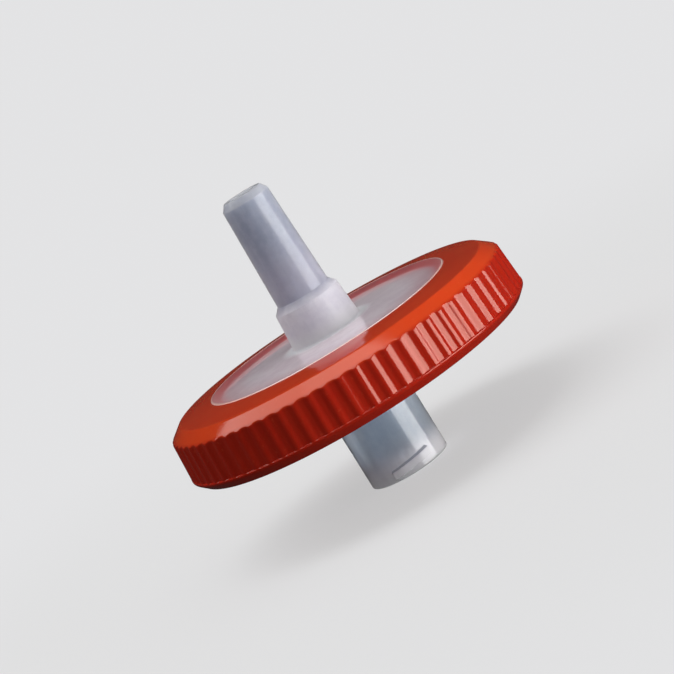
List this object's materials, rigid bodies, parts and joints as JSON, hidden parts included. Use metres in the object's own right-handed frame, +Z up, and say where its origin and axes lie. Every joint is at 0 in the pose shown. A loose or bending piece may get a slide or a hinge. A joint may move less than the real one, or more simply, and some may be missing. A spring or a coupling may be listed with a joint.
{
  "type": "syringe filter",
  "caption": "Round in-line membrane filter with a fluted grip ring, a female luer-lock hub below and a male luer-slip tip above.",
  "frame": {"origin": "centre of the inlet hub's rim, which is the face that the filter stands on", "axes": "+Z up the filter's axis towards the outlet tip, with the two lugs on -Y and +Y"},
  "size_m": [0.0298, 0.0298, 0.0249],
  "materials": {
    "ring_plastic": "gloss",
    "natural_plastic": "satin",
    "membrane": "matte"
  },
  "bodies": {
    "root": {"grip_ring": "ring_plastic", "outlet_housing": "natural_plastic", "inlet_housing": "natural_plastic", "filter_membrane": "membrane"}
  },
  "joints": []
}
